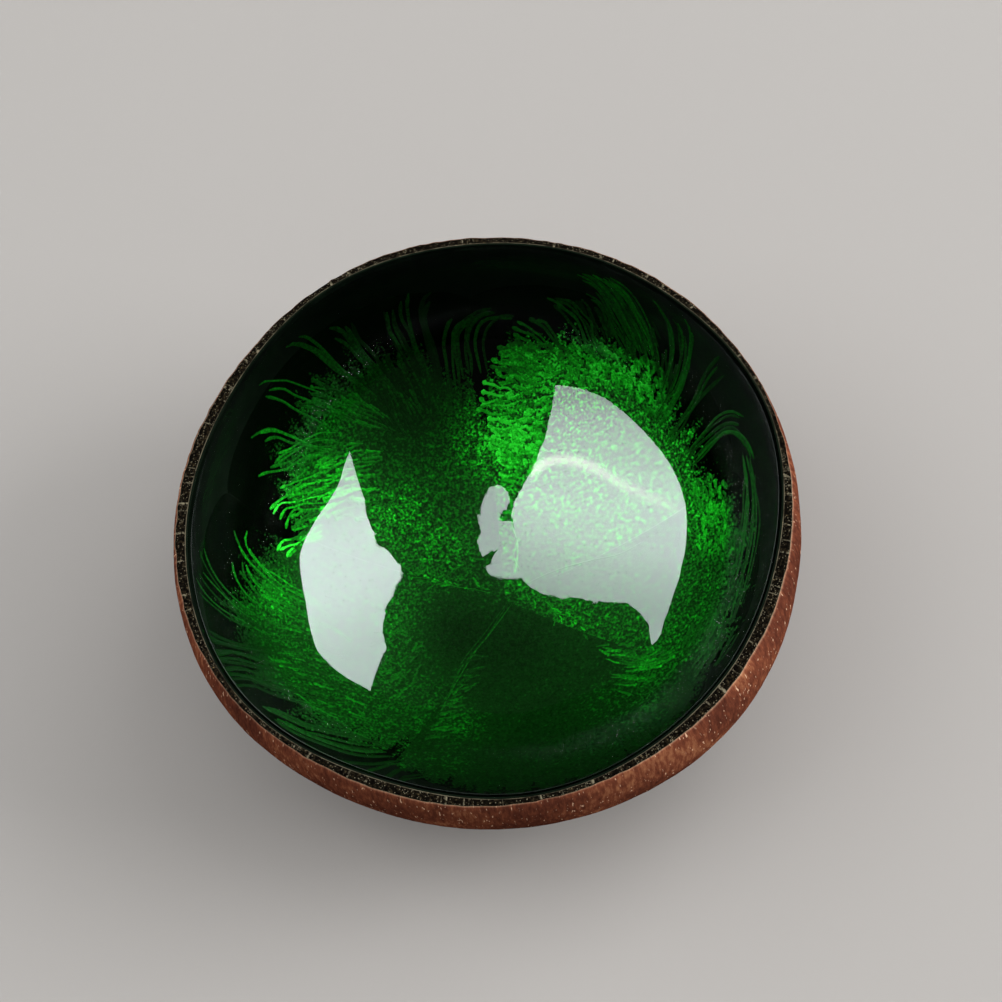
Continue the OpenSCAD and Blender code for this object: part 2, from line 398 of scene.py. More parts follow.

# %% [markdown]
# ## How thickly the pigment lies, and the light painted on it
# Each petal has a ground brightness, and a few pools where the pearl lies thicker or thinner. This
# brightness holds painted light too: round the places where the lamps are mirrored it is raised as a
# painted gleam, and away from them it is lowered as painted shade. A pool is a place in the photo,
# its reach in millimetres and its brightness, from 0 for bare black to 1.
# The value is stored at every point of the mesh, so a material can read it.

# %% Petals, their seams and their pools
SEAM_SHARES = [0.023, 0.232, 0.433, 0.646, 0.892]  # where each petal starts, as a share of a turn
SEAM_REACHES = [0.62, 0.72, 0.74, 0.52, 0.54]  # how far toward the mouth it goes beside that seam
CROWN_REACHES = [0.78, 0.84, 0.78, 0.60, 0.66]  # and how far halfway to the next seam
PETALS = ["petal_north_east", "petal_north_west", "petal_south_west", "petal_south", "petal_east"]
# ground brightness and pools hold pigment thickness and painted light: painted gleam near the lamps' mirror
# images, painted shade away from them
GROUND_BRIGHTNESS = [0.42, 0.26, 0.26, 0.18, 0.32]
POOLS_AND_PAINTED_LIGHT = [
    (290, 498, 7, 0.40), (302, 460, 5, 0.34), (335, 420, 6, 0.34), (395, 515, 8, 0.42), (440, 550, 7, 0.38),
    (405, 405, 9, 0.17), (300, 395, 5, 0.38), (445, 375, 6, 0.26), (498, 435, 9, 0.58), (560, 360, 8, 0.74),
    (610, 365, 8, 0.50), (655, 400, 7, 0.38), (620, 318, 7, 0.40), (540, 560, 8, 0.32), (520, 645, 6, 0.12),
    (704, 515, 6, 0.47), (740, 590, 5, 0.26), (275, 600, 5, 0.42), (400, 622, 7, 0.34), (462, 635, 9, 0.11),
    (380, 765, 8, 0.33), (245, 655, 6, 0.07), (655, 665, 6, 0.36), (645, 705, 7, 0.29), (460, 725, 5, 0.32),
    (450, 762, 5, 0.25), (605, 700, 6, 0.24), (505, 775, 7, 0.17), (530, 365, 5, 0.70),
]
pool_and_light_charts = [(np.array(charted(x, y)), reach * MM / FLOOR_TO_MOUTH, value) for x, y, reach, value in POOLS_AND_PAINTED_LIGHT]


def brightness(chart_points, base):
    value = np.full(len(chart_points), float(base))
    for place, reach, level in pool_and_light_charts:
        near = np.exp(-np.sum((chart_points - place) ** 2, axis=1) / reach ** 2)
        value += (level - value) * near
    return value


print(len(POOLS_AND_PAINTED_LIGHT), "pools of pigment on", len(PETALS), "petals")

# %% [markdown]
# ## The body of a petal
# A petal's body is a thin sheet on the ground lacquer. It starts as a grid, whose two directions are
# laid along the petal: out from the floor's middle, and across from seam to seam. Solidify gives it
# thickness. Towards its ragged outer edge the pigment thins out, which the stored value shows.

# %% Petal sheets
SHEET_ROWS, SHEET_COLUMNS = 110, 120
OVERLAP = 0.35 * MM  # how far a sheet runs over its neighbour at a seam
THIN_FROM = [0.92, 0.92, 0.92, 1.10, 1.02]  # share of a petal's length where its body has run out
THIN_SIDES = [(0, 0.22), (0.22, 0.20), (0.20, 0), (0, 0), (0, 0)]  # how much sooner beside its seams
EDGE_BAND = 0.22  # share of a petal's length over which it breaks up into grains
COMBED = 0.12  # how far that band's border runs in and out, again as a share
SHEET_T = 0.14 * MM
SHEET_LIFT = 0.12 * MM  # how high a sheet's face lies over the ground lacquer
SHEET_STEP = 0.01 * MM  # each sheet lies this much over the last, so none shares a place


def petal_width(index):
    return (SEAM_SHARES[(index + 1) % 5] - SEAM_SHARES[index]) % 1


def body_end(index, across):
    sides = np.where(across < 0.5, *THIN_SIDES[index])
    return THIN_FROM[index] - sides * np.abs(2 * across - 1) ** 3


def petal_edge(index, across):
    start, end = SEAM_REACHES[index], SEAM_REACHES[(index + 1) % 5]
    crown = CROWN_REACHES[index] - (start + end) / 2
    return start + (end - start) * across + crown * np.sqrt(np.sin(math.pi * np.clip(across, 0, 1)))


def in_hollow(share, turn, depth):
    r, z = hollow_point(share, depth)
    return turned_out(r * swelling(z, turn, MOUTH_WAVES), turn, z)


def picked(piece, *others):
    deselected()
    for each in (piece, *others):
        each.select_set(True)
    bpy.context.view_layer.objects.active = piece


def merged(piece, distance):
    picked(piece)
    bpy.ops.object.mode_set(mode="EDIT")
    bpy.ops.mesh.select_all(action="SELECT")
    bpy.ops.mesh.remove_doubles(threshold=distance)
    bpy.ops.object.mode_set(mode="OBJECT")


def petal_sheet(index):
    deselected()
    bpy.ops.mesh.primitive_grid_add(x_subdivisions=SHEET_ROWS, y_subdivisions=SHEET_COLUMNS, size=1)
    sheet = bpy.context.object
    sheet.name = PETALS[index] + "_sheet"
    points = points_of(sheet)
    out, across = points[:, 0] + 0.5, points[:, 1] + 0.5
    first = SEAM_SHARES[index] * math.tau
    wide = petal_width(index) * math.tau
    overlap = OVERLAP / np.maximum(hollow_point(out * 0.6, 0)[0], 2 * OVERLAP)
    turn = first + wide * across + overlap * (2 * across - 1)
    share = out * petal_edge(index, across)
    set_points(sheet, in_hollow(share, turn, GROUND_T + SHEET_LIFT + SHEET_STEP * index))
    chart = np.stack([share * np.cos(turn), share * np.sin(turn)], axis=-1)
    combed = smooth_noise(np.stack([turn * 30, out * 3, 0 * out], axis=-1), 1, 10 + index)
    attribute(sheet, "laid_and_painted_light", brightness(chart, GROUND_BRIGHTNESS[index]))
    attribute(sheet, "strand", 0 * out)
    attribute(sheet, "cover", np.clip((body_end(index, across) - out + COMBED * combed) / EDGE_BAND, 0, 1))
    merged(sheet, 0.002 * MM)
    solid = sheet.modifiers.new("thickness", "SOLIDIFY")
    solid.thickness, solid.offset = SHEET_T, -1
    bpy.ops.object.modifier_apply(modifier=solid.name)
    report(sheet)
    return sheet


sheets = [petal_sheet(index) for index in range(5)]

# %% [markdown]
# ## The strands
# Where the pigment ran, it left strands 0.3 to 1.5 mm wide, many with a round blob at the tip, where
# the drop stopped. Each row below is a lock: how many strands, their width in millimetres, what
# share of the guide a strand covers, how much thicker its tip is, its brightness, and then the
# guides from root to tip as places in the photo. Strands between two guides are blends of both.

# %% Locks of strands
LOCKS = {
    "petal_north_west": [
        (3, 0.65, 1, 0.9, 0.42, [(338, 440), (300, 418), (283, 405), (263, 403), (253, 411)],
         [(340, 400), (313, 388), (283, 380), (265, 380), (255, 389)]),
        (4, 1.1, 1, 0.6, 0.36, [(372, 393), (338, 375), (319, 363), (302, 353), (286, 350), (276, 357)],
         [(380, 400), (342, 366), (322, 345), (305, 334), (291, 340)]),
        (4, 1.2, 1, 0.6, 0.28, [(402, 401), (373, 372), (351, 350), (334, 334), (318, 333)],
         [(413, 405), (383, 366), (362, 337), (350, 319), (333, 315)]),
        (6, 0.9, 1, 0.8, 0.3, [(428, 410), (418, 385), (399, 353), (388, 329), (382, 307)],
         [(432, 400), (409, 353), (397, 326), (394, 304)],
         [(436, 390), (418, 350), (409, 326), (402, 302), (405, 279)]),
        (3, 1.4, 1, 0.5, 0.26, [(438, 385), (428, 345), (420, 318), (424, 297), (434, 289)],
         [(442, 385), (434, 345), (426, 315), (431, 296), (443, 288)]),
        (3, 0.65, 1, 1.1, 0.5, [(335, 450), (302, 442), (286, 432), (268, 427), (244, 436)],
         [(340, 455), (300, 444), (273, 436), (257, 444)]),
        (5, 0.6, 1, 1.3, 0.6, [(335, 430), (316, 430), (300, 440), (283, 452), (269, 462)],
         [(335, 455), (307, 460), (284, 472), (262, 476), (248, 486)]),
        (5, 0.6, 1, 1.5, 0.8, [(325, 470), (302, 480), (286, 485), (273, 497)],
         [(325, 495), (300, 500), (281, 504), (266, 514)],
         [(325, 512), (300, 513), (290, 521), (285, 531)]),
        (4, 0.6, 1, 1.5, 0.88, [(322, 522), (302, 534), (284, 542), (273, 553)],
         [(322, 540), (301, 549), (287, 561)]),
        (110, 0.7, 0.18, 1.5, 0.68, [(385, 430), (350, 440), (315, 452), (292, 468)],
         [(385, 470), (345, 478), (310, 492), (283, 508)],
         [(375, 520), (345, 522), (318, 535), (290, 553)]),
        (60, 0.7, 0.2, 1.1, 0.44, [(400, 420), (365, 400), (330, 385), (305, 375)],
         [(390, 440), (355, 425), (320, 412), (290, 410)]),
        (60, 0.7, 0.3, 0.8, 0.3, [(400, 440), (375, 400), (350, 365)], [(430, 430), (412, 390), (395, 350)],
         [(460, 430), (448, 385), (440, 345)]),
    ],
    "petal_south_west": [
        (5, 0.5, 1, 1.2, 0.5, [(320, 600), (295, 588), (276, 575), (261, 562), (255, 551), (258, 540)],
         [(325, 610), (300, 606), (276, 593), (257, 575), (240, 555), (230, 530), (231, 509)]),
        (6, 0.5, 1, 0.9, 0.32,
         [(330, 640), (308, 628), (284, 625), (260, 617), (239, 602), (214, 568), (204, 547), (200, 525)],
         [(335, 655), (300, 642), (268, 641), (244, 628), (225, 620), (207, 607), (193, 589)]),
        (6, 0.5, 1, 1.2, 0.42, [(320, 632), (292, 620), (260, 607), (241, 593), (231, 577), (227, 558)],
         [(318, 622), (292, 607), (269, 591), (255, 578), (246, 562), (244, 547)],
         [(315, 618), (284, 610), (260, 598), (248, 585), (244, 571)]),
        (14, 0.9, 1, 0.7, 0.18, [(330, 655), (292, 647), (247, 645), (220, 636), (200, 619)],
         [(335, 690), (300, 682), (260, 673), (230, 664), (210, 652)],
         [(345, 718), (310, 708), (275, 698), (245, 688), (226, 678)]),
        (12, 1.1, 1, 0.7, 0.26, [(365, 735), (335, 728), (303, 720), (272, 708), (250, 696)],
         [(395, 760), (365, 760), (335, 752), (305, 740), (280, 726)],
         [(430, 778), (405, 782), (375, 780), (345, 768), (318, 753)]),
        (14, 0.6, 0.5, 1.2, 0.56, [(292, 590), (278, 585), (262, 578)],
         [(300, 615), (280, 608), (258, 596)]),
        (60, 0.6, 0.2, 1.1, 0.46, [(345, 590), (310, 590), (265, 578)],
         [(375, 690), (320, 668), (262, 650)], [(400, 755), (340, 735), (290, 706)]),
        (70, 0.6, 0.22, 0.8, 0.36, [(415, 600), (395, 620), (370, 640)],
         [(440, 690), (415, 715), (385, 735)]),
        (1, 0.3, 1, 0.5, 0.5, [(494, 592), (463, 586), (441, 581), (420, 577), (398, 573)],
         [(494, 594), (463, 588), (441, 583), (420, 579), (398, 576)]),
        (26, 0.4, 0.08, 1.0, 0.62, [(494, 590), (463, 584), (441, 579), (420, 575), (398, 571)],
         [(494, 594), (463, 588), (441, 583), (420, 579), (398, 576)]),
    ],
    "petal_north_east": [
        (9, 0.9, 1, 0.8, 0.37, [(450, 395), (446, 356), (446, 336), (452, 322), (463, 318)],
         [(466, 375), (461, 341), (466, 322), (478, 312), (493, 311)],
         [(488, 372), (484, 345), (490, 326), (504, 315), (520, 317), (532, 323)]),
        (12, 0.8, 1, 1.5, 0.5, [(567, 350), (556, 332), (544, 319), (530, 314)],
         [(550, 356), (535, 338), (523, 331), (509, 325)], [(542, 362), (523, 350), (510, 343)],
         [(532, 380), (520, 365), (507, 352), (496, 350)]),
        (7, 0.8, 1, 1.1, 0.36, [(582, 350), (576, 330), (567, 316), (553, 305), (539, 302)],
         [(592, 345), (580, 316), (565, 303), (549, 298)],
         [(600, 345), (586, 314), (569, 299), (552, 293)]),
        (20, 0.8, 1, 0.8, 0.5, [(628, 358), (616, 336), (610, 321), (604, 308), (592, 302)],
         [(636, 350), (615, 312), (602, 290), (590, 279), (575, 272)],
         [(650, 355), (632, 315), (614, 290), (594, 273)],
         [(660, 360), (648, 318), (628, 289), (606, 275)]),
        (10, 0.85, 1, 0.7, 0.47, [(648, 415), (664, 380), (670, 348), (667, 324), (656, 303), (646, 289)],
         [(653, 420), (672, 384), (680, 353), (679, 328), (672, 320)],
         [(660, 430), (681, 388), (692, 356), (692, 328), (685, 314)]),
        (4, 0.8, 1, 0.6, 0.36, [(664, 440), (692, 402), (706, 370), (719, 345)],
         [(672, 448), (690, 420), (707, 400), (724, 384), (732, 387)]),
        (20, 0.8, 1, 1.8, 0.95, [(512, 388), (497, 384), (481, 380)], [(510, 402), (492, 403), (476, 399)],
         [(512, 414), (490, 414), (473, 409)], [(520, 432), (505, 430), (493, 426)],
         [(514, 442), (500, 440), (485, 435)], [(512, 454), (498, 450), (484, 443)],
         [(520, 464), (506, 461), (493, 455)], [(524, 486), (512, 483), (500, 478)]),
        (8, 0.8, 1, 1.6, 0.66, [(545, 352), (528, 348), (512, 345), (498, 345)],
         [(540, 372), (520, 364), (505, 360), (490, 357)],
         [(535, 388), (515, 379), (500, 374), (484, 368)]),
        (40, 0.9, 0.3, 1.6, 0.8, [(560, 345), (535, 343), (510, 345)],
         [(540, 372), (515, 368), (490, 366)]),
        (140, 1.1, 0.16, 1.7, 1.0, [(562, 365), (530, 366), (500, 372)],
         [(550, 420), (520, 422), (490, 420)], [(548, 450), (525, 450), (498, 445)],
         [(540, 485), (520, 480), (502, 470)]),
        (190, 0.95, 0.14, 1.5, 0.85, [(570, 385), (562, 362), (545, 342)],
         [(620, 395), (618, 362), (604, 340)], [(665, 430), (668, 395), (660, 360)]),
        (60, 0.8, 0.3, 0.8, 0.34, [(600, 350), (590, 325), (575, 300)],
         [(640, 365), (632, 325), (612, 292)], [(668, 400), (676, 365), (672, 330)]),
        (2, 0.4, 1, 0.6, 0.7, [(511, 496), (512, 520), (517, 555), (522, 580)],
         [(512, 496), (513, 520), (518, 555), (523, 580)]),
        (1, 0.3, 1, 0.5, 0.4, [(519, 585), (550, 570), (600, 556), (650, 540)],
         [(519, 587), (550, 572), (600, 558), (650, 542)]),
    ],
    "petal_east": [
        (7, 0.7, 1, 0.8, 0.4, [(680, 462), (703, 432), (716, 416), (730, 409), (743, 415)],
         [(700, 462), (718, 444), (731, 436), (745, 442), (753, 459), (758, 490)]),
        (8, 0.7, 1, 0.8, 0.36, [(728, 570), (738, 528), (742, 492), (743, 468), (737, 448)],
         [(742, 610), (755, 563), (761, 522), (758, 492), (752, 458)]),
        (130, 0.8, 0.1, 1.4, 0.74, [(694, 560), (696, 520), (690, 480)],
         [(712, 560), (714, 520), (706, 474)], [(728, 560), (732, 515), (726, 470)]),
        (45, 0.7, 0.35, 0.8, 0.36, [(675, 660), (705, 610), (722, 560)],
         [(700, 690), (730, 640), (746, 580)]),
        (1, 0.35, 1, 0.6, 0.6, [(522, 592), (545, 603), (563, 615), (591, 635)],
         [(522, 590), (545, 601), (564, 613), (592, 633)]),
        (32, 0.42, 0.08, 1.0, 0.66, [(524, 594), (545, 606), (563, 619), (590, 640)],
         [(524, 588), (545, 599), (564, 610), (595, 630)]),
    ],
    "petal_south": [
        (45, 0.65, 0.25, 1.2, 0.58, [(588, 640), (612, 643), (630, 649), (642, 642)],
         [(598, 655), (625, 657), (648, 661), (661, 650)], [(605, 672), (640, 674), (665, 666), (683, 652)],
         [(615, 692), (648, 692), (670, 681), (684, 662)]),
        (8, 0.6, 1, 1.3, 0.52, [(610, 650), (630, 655), (648, 652), (661, 643)],
         [(625, 668), (650, 668), (668, 662), (684, 652)]),
        (3, 0.35, 1, 0.5, 0.34, [(510, 600), (488, 632), (474, 650), (461, 672), (450, 692), (430, 730)],
         [(513, 603), (491, 634), (476, 652), (463, 674), (452, 695), (432, 732)]),
        (45, 0.6, 0.5, 0.9, 0.38, [(492, 655), (474, 662), (460, 672)],
         [(470, 705), (448, 708), (434, 714)], [(465, 750), (440, 750), (414, 752)]),
        (45, 0.6, 0.25, 0.8, 0.22, [(520, 700), (500, 740), (480, 780)],
         [(580, 690), (590, 730), (590, 770)], [(640, 700), (665, 715), (680, 730)]),
    ],
}
print(sum(lock[0] for locks in LOCKS.values() for lock in locks), "strands in",
      sum(len(locks) for locks in LOCKS.values()), "locks")

# %% [markdown]
# ## Growing the strands
# A guide is first made smooth: its few places become 60 along a curve that passes through all of
# them. A strand is at least as bright as the pigment that it runs over, so that is looked up too.

# %% Smooth guides and what lies under them
GUIDE_POINTS = 60
fine = np.linspace(0, 1, GUIDE_POINTS)


def resampled(guide):
    line = np.array([charted(x, y) for x, y in guide])
    steps = np.concatenate([[0], np.cumsum(np.linalg.norm(np.diff(line, axis=0), axis=1))])
    ends = np.concatenate([[2 * line[0] - line[1]], line, [2 * line[-1] - line[-2]]])
    at = np.clip(np.interp(fine * steps[-1], steps, np.arange(len(line))), 0, len(line) - 1.0001)
    k, t = at.astype(int), (at % 1)[:, None]
    p0, p1, p2, p3 = ends[k], ends[k + 1], ends[k + 2], ends[k + 3]
    return 0.5 * (2 * p1 + (p2 - p0) * t + (2 * p0 - 5 * p1 + 4 * p2 - p3) * t ** 2
                  + (3 * p1 - p0 - 3 * p2 + p3) * t ** 3)


def under_strand(chart):
    share, turn = radius_and_turn(chart)
    part = np.mod(turn / math.tau - SEAM_SHARES[0], 1) + SEAM_SHARES[0]
    index = np.searchsorted(SEAM_SHARES, part, side="right") - 1
    level = np.zeros(len(chart))
    for k in np.unique(index):
        here = index == k
        across = (part - SEAM_SHARES[k]) / petal_width(k)
        covered = np.clip((body_end(k, across) - share / petal_edge(k, across)) / EDGE_BAND, 0, 1)
        level[here] = (brightness(chart, GROUND_BRIGHTNESS[k]) * covered)[here]
    return level


first_guide = LOCKS["petal_north_west"][0][5]
print("a guide of", len(first_guide), "places becomes", len(resampled(first_guide)))

# %% [markdown]
# Each strand is a line of 14 points. Its radius is thin at the root and swells at the tip. It strays
# a little from its guide, as a running drop does. A lock of short strands is a field of dabs, which
# start anywhere along the guides and grow darker toward the border of the field.

# %% Strands of a lock
STRAND_POINTS, SWAYS = 14, 6
TIP_AT, TIP_SPREAD = 0.95, 0.06  # where along a strand its blob sits, and how long it is
BORDER_FADE = 0.45  # how much darker a short strand is at the border of its lock
WHOLE_LENGTHS, SHORT_LENGTHS = (0.78, 1.0), (0.75, 1.0)  # shares of what the lock says
THICKNESSES, LEVELS = (0.75, 1.25), (0.7, 1.25)  # the same for width and brightness
WHOLE_STRAY, SHORT_STRAY = (0.4, 0.35), (0.7, 0.12)  # millimetres to one side, and of waving
rng = np.random.default_rng(11)
along = np.linspace(0, 1, STRAND_POINTS)


def lock_strands(lock):
    count, width, covered, knob, level, *guides = lock
    whole = covered == 1
    lines = [resampled(guide) for guide in guides]
    for number in range(count):
        spot = (number + rng.uniform(0.1, 0.9)) / count * (len(lines) - 1)
        k = min(int(spot), len(lines) - 2)
        line = lines[k] + (lines[k + 1] - lines[k]) * (spot - k)
        length = rng.uniform(*WHOLE_LENGTHS) if whole else covered * rng.uniform(*SHORT_LENGTHS)
        start = 0 if whole else rng.uniform(0, 1 - length)
        places = start + length * along
        x, y = (np.interp(places, fine, line[:, axis]) for axis in (0, 1))
        heading = np.stack([-np.gradient(y), np.gradient(x)], axis=-1)
        heading /= np.linalg.norm(heading, axis=1)[:, None] + 1e-9
        aside, wander = WHOLE_STRAY if whole else SHORT_STRAY
        sway = rng.normal(0, aside) + wander * np.interp(along, np.linspace(0, 1, SWAYS),
                                                         rng.normal(0, 1, SWAYS))
        stray = (sway * (0.4 + along))[:, None] * MM / FLOOR_TO_MOUTH * heading
        chart = np.stack([x, y], axis=-1) + stray
        blob = np.exp(-((along - TIP_AT) / TIP_SPREAD) ** 2)
        swell = 0.55 + 0.45 * np.sqrt(along) + (knob - 0.6) * blob
        swell[0], swell[-1] = 0.25, 0.45 + 0.3 * (knob > 1)  # both ends are drawn in
        radius = 0.5 * width * rng.uniform(*THICKNESSES) * swell
        to_border = max(abs(2 * start + length - 1), abs(2 * spot / (len(lines) - 1) - 1))
        fade = 1 if whole else 1 - BORDER_FADE * to_border ** 3
        # a strand's brightness holds painted gleam and shade as well as how thickly it lies
        laid_and_painted_light = fade * level * rng.uniform(*LEVELS) * (0.85 + 0.15 * along)
        yield chart, radius, np.maximum(laid_and_painted_light, under_strand(chart))


print("a strand strays at", SWAYS, "places and swells at", TIP_AT, "of its length")

# %% [markdown]
# The lines become one curve with a round bevel, which Blender turns into closed tubes. The tubes are
# then pressed flat against the wall, because a run of pigment is a low ridge and no wire. For that
# each point of a tube has to find the nearest point of the lines. Last, the strands are joined to
# the sheet of their petal, as both are one pool of pigment.

# %% Strands as tubes, pressed flat and joined to their petal
PRESSED = 0.34  # a strand's height as a share of its width
STRAND_LIFTS = (0.10, 0.20)  # millimetres over the ground lacquer
CHART_ENDS = (0.005, 0.97)  # strands keep off the floor's very middle and the mouth


def strands_of(name):
    curve = bpy.data.curves.new(name + "_strands", "CURVE")
    curve.dimensions = "3D"
    curve.bevel_depth = MM
    curve.bevel_resolution = 1
    curve.use_fill_caps = True
    centres, levels = [], []
    for lock in LOCKS[name]:
        for chart, radius, laid_and_painted_light in lock_strands(lock):
            share, turn = radius_and_turn(chart)
            lift = rng.uniform(*STRAND_LIFTS) * MM
            line = in_hollow(np.clip(share, *CHART_ENDS), turn, GROUND_T + lift)
            spline = curve.splines.new("POLY")
            spline.points.add(STRAND_POINTS - 1)
            spline.points.foreach_set("co", np.column_stack([line, np.ones(len(line))]).ravel())
            spline.points.foreach_set("radius", radius)
            centres.append(line)
            levels.append(laid_and_painted_light)
    strands = bpy.data.objects.new(name + "_strands", curve)
    bpy.context.scene.collection.objects.link(strands)
    picked(strands)
    bpy.ops.object.convert(target="MESH")
    strands = bpy.context.object
    merged(strands, 0.0005 * MM)
    return strands, np.concatenate(centres), np.concatenate(levels)


def pressed_flat(strands, centres, levels):
    tree = KDTree(len(centres))
    for number, centre in enumerate(centres):
        tree.insert(centre, number)
    tree.balance()
    points = points_of(strands)
    nearest = np.array([tree.find(p)[1] for p in points])
    middle = centres[nearest]
    normal = middle - HOLLOW_MIDDLE
    normal[:, 2] *= (BARE_W / BARE_H) ** 2
    normal /= np.linalg.norm(normal, axis=1)[:, None]
    off = np.sum((points - middle) * normal, axis=1)
    set_points(strands, points - normal * (off * (1 - PRESSED))[:, None])
    attribute(strands, "laid_and_painted_light", levels[nearest])
    attribute(strands, "strand", np.ones(len(points)))
    attribute(strands, "cover", np.ones(len(points)))


petals = []
for index, name in enumerate(PETALS):
    strands, centres, levels = strands_of(name)
    pressed_flat(strands, centres, levels)
    picked(sheets[index], strands)
    bpy.ops.object.join()
    petal = bpy.context.object
    petal.name = petal.data.name = name.replace("petal", "pigment")
    petals.append(petal)
    report(petal)

# %% [markdown]
# ## Materials
# Colours are written as they would be picked on a screen, in hex, and turned to the linear values
# that the renderer works in. One small function adds a node with its settings and its links. A node
# that is given for a socket is linked by its first output, and by another where one is named. A Mix
# node has sockets for three kinds of value, so they are told by number: 2 and 3 take plain values,
# 4 and 5 vectors, 6 and 7 colours, and the results are its outputs 0, 1 and 2.

# %% Helpers for materials
def linear(hex_code):
    parts = [int(hex_code[i:i + 2], 16) / 255 for i in (1, 3, 5)]
    return [c / 12.92 if c <= 0.04045 else ((c + 0.055) / 1.055) ** 2.4 for c in parts] + [1.0]


def new_material(name):
    material = bpy.data.materials.new(name)
    material.use_nodes = True
    material.node_tree.nodes.clear()
    return material


def put(owner, kind, sockets=None, **settings):
    node = owner.node_tree.nodes.new("ShaderNode" + kind)
    for key, value in settings.items():
        setattr(node, key, value)
    for key, value in (sockets or {}).items():
        if isinstance(value, bpy.types.Node):
            value = (value, 0)
        if isinstance(value, tuple) and isinstance(value[0], bpy.types.Node):
            owner.node_tree.links.new(value[0].outputs[value[1]], node.inputs[key])
        else:
            node.inputs[key].default_value = value
    return node


def coloured(ramp, stops):
    elements = ramp.color_ramp.elements
    while len(elements) < len(stops):
        elements.new(0.5)
    for element, (place, colour) in zip(elements, stops):
        element.position = place
        element.color = linear(colour) if isinstance(colour, str) else (colour, colour, colour, 1)


def finished(piece, *materials):
    piece.data.materials.clear()
    for material in materials:
        piece.data.materials.append(material)
    piece.data.shade_smooth()


print("the screen's grey #808080 is", round(linear("#808080")[0], 3), "in linear light")

# %% [markdown]
# ### Pearl pigment
# Pearl pigment is mica flakes in lacquer. Each flake is far too small to see, but they clump to
# grains of about half a millimetre, some turned to the light and some away. So the brightness that
# the mesh carries is broken up by a noise of that grain, less so where little pigment lies and in a
# strand, whose lacquer ran smooth. In a mirror image on the wall the flakes are seen from their
# dull side, so there the green is dimmed.

# %% Green of the pearl pigment
pearl = new_material("pearl_pigment_in_lacquer")
where = put(pearl, "TexCoord")
# the stored brightness is pigment thickness with painted gleam and shade in it
laid_and_painted_light = put(pearl, "Attribute", attribute_name="laid_and_painted_light")
grain = put(pearl, "TexNoise", {"Vector": (where, "Object"), "Scale": 1 / (0.6 * MM), "Detail": 2.0,
                                "Roughness": 0.6})
clump = put(pearl, "TexNoise", {"Vector": (where, "Object"), "Scale": 1 / (1.2 * MM), "Detail": 1.0})
grainy = put(pearl, "MapRange", {"Value": grain, "From Min": 0.32, "From Max": 0.68, "To Min": 0.25,
                                 "To Max": 1.75}, clamp=False)
clumpy = put(pearl, "MapRange", {"Value": clump, "From Min": 0.3, "From Max": 0.7, "To Min": 0.60,
                                 "To Max": 1.40}, clamp=False)
broken = put(pearl, "Math", {0: grainy, 1: clumpy}, operation="MULTIPLY")
liveliness = put(pearl, "MapRange", {"Value": (laid_and_painted_light, "Fac"), "From Min": 0.2, "From Max": 0.45,
                                     "To Min": 0.45, "To Max": 1.0})
broken = put(pearl, "Mix", {0: liveliness, 2: 1.0, 3: broken})
run = put(pearl, "Attribute", attribute_name="strand")
gentle = put(pearl, "MapRange", {"Value": grain, "From Min": 0.32, "From Max": 0.68, "To Min": 0.75,
                                 "To Max": 1.25}, clamp=False)
broken = put(pearl, "Mix", {0: (run, "Fac"), 2: broken, 3: gentle})
cover = put(pearl, "Attribute", attribute_name="cover")
crumb = put(pearl, "TexNoise", {"Vector": (where, "Object"), "Scale": 1 / (0.7 * MM), "Detail": 2.0})
margin = put(pearl, "Math", {0: (cover, "Fac"), 1: 0.6, 2: crumb}, operation="MULTIPLY_ADD")
there = put(pearl, "MapRange", {"Value": margin, "From Min": 0.78, "From Max": 0.88})
lit = put(pearl, "Math", {0: broken, 1: (laid_and_painted_light, "Fac")}, operation="MULTIPLY")
path = put(pearl, "LightPath")
turned = put(pearl, "MapRange", {"Value": (path, "Is Glossy Ray"), "To Min": 1.0, "To Max": 0.45})
facing = put(pearl, "Math", {0: lit, 1: turned}, operation="MULTIPLY")
shown = put(pearl, "Math", {0: facing, 1: there}, operation="MULTIPLY")
green = put(pearl, "ValToRGB", {"Fac": shown})
coloured(green, [(0.0, "#010301"), (0.25, "#073409"), (0.5, "#0c7011"), (0.75, "#14bc1a"),
                 (1.0, "#30f236")])
print("green of", len(green.color_ramp.elements), "steps, by how thickly the pigment lies")

# %% [markdown]
# The flakes settle flat in the wet lacquer. So the light sees the direction of the wall more than the
# side of a ridge. That direction is worked out from the oval of the hollow, and the mesh's own only
# gets a share of 0.3.

# %% Direction of the flakes
wall_w, wall_h, _ = hollow_oval(GROUND_T)
from_middle = put(pearl, "VectorMath", {0: (where, "Object"), 1: (0, 0, HOLLOW_Z)}, operation="SUBTRACT")
off_wall = put(pearl, "VectorMath", {0: from_middle, 1: (-1, -1, -(wall_w / wall_h) ** 2)},
               operation="MULTIPLY")
wall_way = put(pearl, "VectorTransform", {"Vector": off_wall}, vector_type="NORMAL", convert_from="OBJECT",
               convert_to="WORLD")
wall_unit = put(pearl, "VectorMath", {0: wall_way}, operation="NORMALIZE")
face = put(pearl, "NewGeometry")
settled = put(pearl, "Mix", {0: 0.3, 4: wall_unit, 5: (face, "Normal")}, data_type="VECTOR")
settled_unit = put(pearl, "VectorMath", {0: (settled, 1)}, operation="NORMALIZE")
bump = put(pearl, "Bump", {"Height": grain, "Strength": 0.4, "Distance": 0.05 * MM, "Normal": settled_unit})
print("the flakes lie along an oval of", round(wall_w / MM, 1), "by", round(wall_h / MM, 1), "mm")

# %% [markdown]
# A small part of the light comes back from the flakes as a wide green gleam round the place where a
# lamp is mirrored. The pigment has no clear gloss of its own, because under the clear coat the light
# meets no new surface. So a matt body is mixed with a little rough green gloss, flake by flake.

